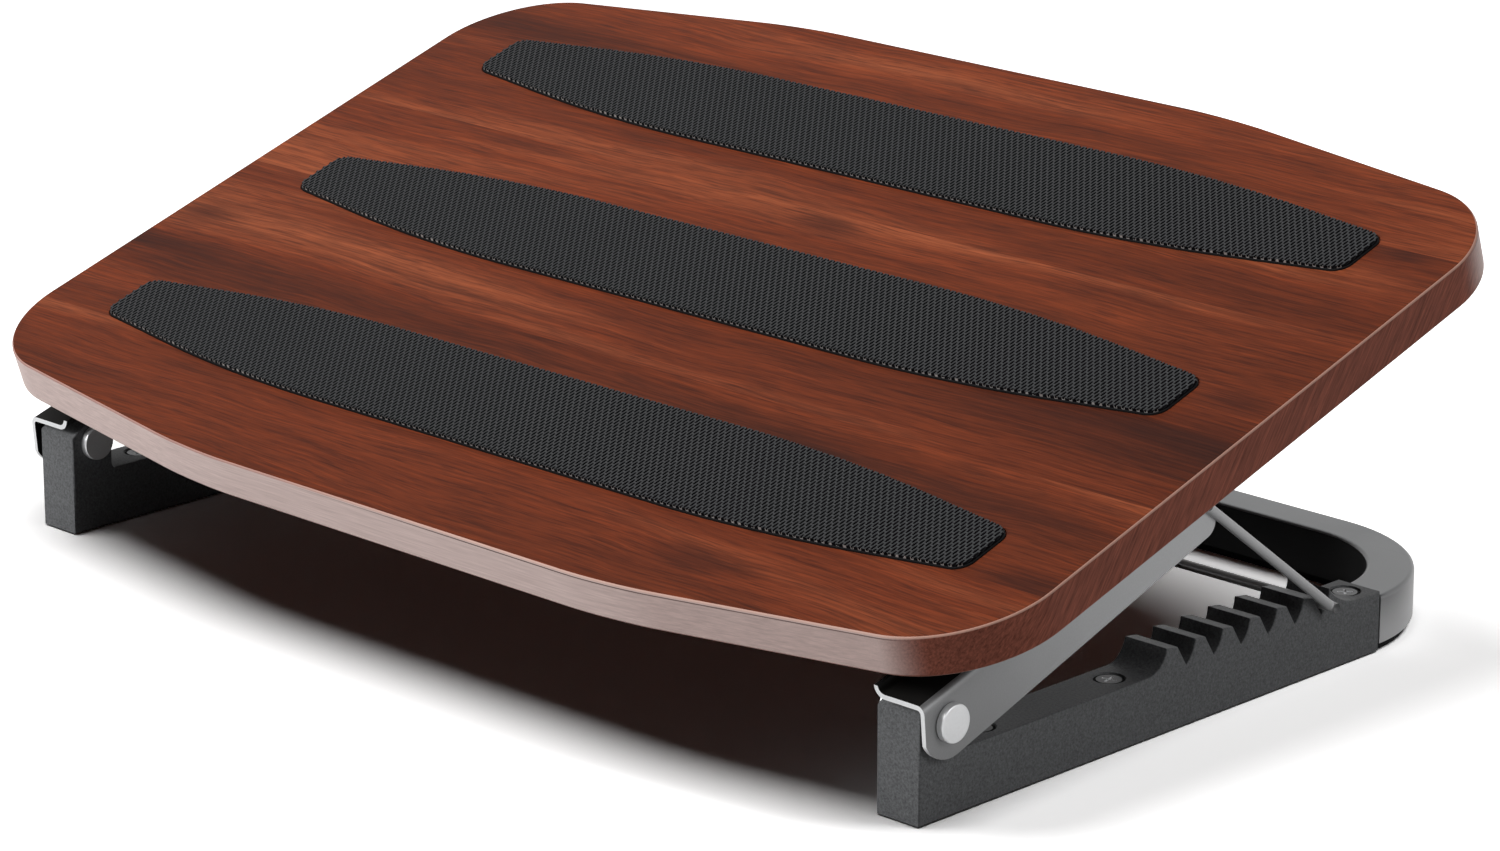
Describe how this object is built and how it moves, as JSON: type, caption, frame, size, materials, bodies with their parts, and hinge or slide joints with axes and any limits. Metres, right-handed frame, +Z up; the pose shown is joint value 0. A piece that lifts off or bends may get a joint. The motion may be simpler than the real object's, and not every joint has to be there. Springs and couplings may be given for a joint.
{
  "type": "tilting under desk footrest",
  "caption": "Wooden foot board with rubber grip pads, hinged at the front of a low base with toothed rails and propped at the back by a swinging wire.",
  "frame": {"origin": "on the floor, under the middle of the whole object's box", "axes": "+X to the right, +Y to the back, where the board is high, +Z up"},
  "size_m": [0.45, 0.289, 0.1457],
  "materials": {
    "wood": "reddish brown laminate, satin",
    "rubber": "matte, fine dotted",
    "rail_plastic": "dark grey, fine grain",
    "bracket_steel": "satin grey sheet",
    "frame_steel": "satin dark grey",
    "bright_steel": "bright, smooth",
    "bar_steel": "plain, dull"
  },
  "bodies": {
    "base": {"rear_frame": "frame_steel", "rear_foot_strip": "rubber", "rack_rail_right": "rail_plastic", "tie_bar_right": "bar_steel", "front_foot_right": "rubber", "rear_foot_right": "rubber", "rail_screw_right_1": "bright_steel", "rail_screw_right_2": "bright_steel", "rail_screw_right_3": "bright_steel", "pivot_rivet_right": "bright_steel", "pivot_washer_right": "rail_plastic", "rack_rail_left": "rail_plastic", "tie_bar_left": "bar_steel", "front_foot_left": "rubber", "rear_foot_left": "rubber", "rail_screw_left_1": "bright_steel", "rail_screw_left_2": "bright_steel", "rail_screw_left_3": "bright_steel", "pivot_rivet_left": "bright_steel", "pivot_washer_left": "rail_plastic"},
    "platform": {"foot_board": "wood", "grip_pad_front": "rubber", "grip_pad_middle": "rubber", "grip_pad_rear": "rubber", "board_bracket_right": "bracket_steel", "bracket_screw_right_1": "bright_steel", "bracket_screw_right_2": "bright_steel", "bracket_screw_right_3": "bright_steel", "bracket_screw_right_4": "bright_steel", "board_bracket_left": "bracket_steel", "bracket_screw_left_1": "bright_steel", "bracket_screw_left_2": "bright_steel", "bracket_screw_left_3": "bright_steel", "bracket_screw_left_4": "bright_steel"},
    "prop": {"prop_wire": "bright_steel"}
  },
  "joints": [
    {"name": "platform_tilt", "type": "hinge", "parent": "base", "child": "platform", "pos_m": [0, -0.11122, 0.0309], "axis": [1, 0, 0], "range_deg": [0, 16.5]},
    {"name": "prop_swing", "type": "hinge", "parent": "platform", "child": "prop", "pos_m": [0, -0.00051, 0.07044], "axis": [1, 0, 0], "range_deg": [-20.7, 0]}
  ],
  "couplings": [
    {"joint": "prop_swing", "follows": "platform_tilt", "ratio": -1.25}
  ]
}
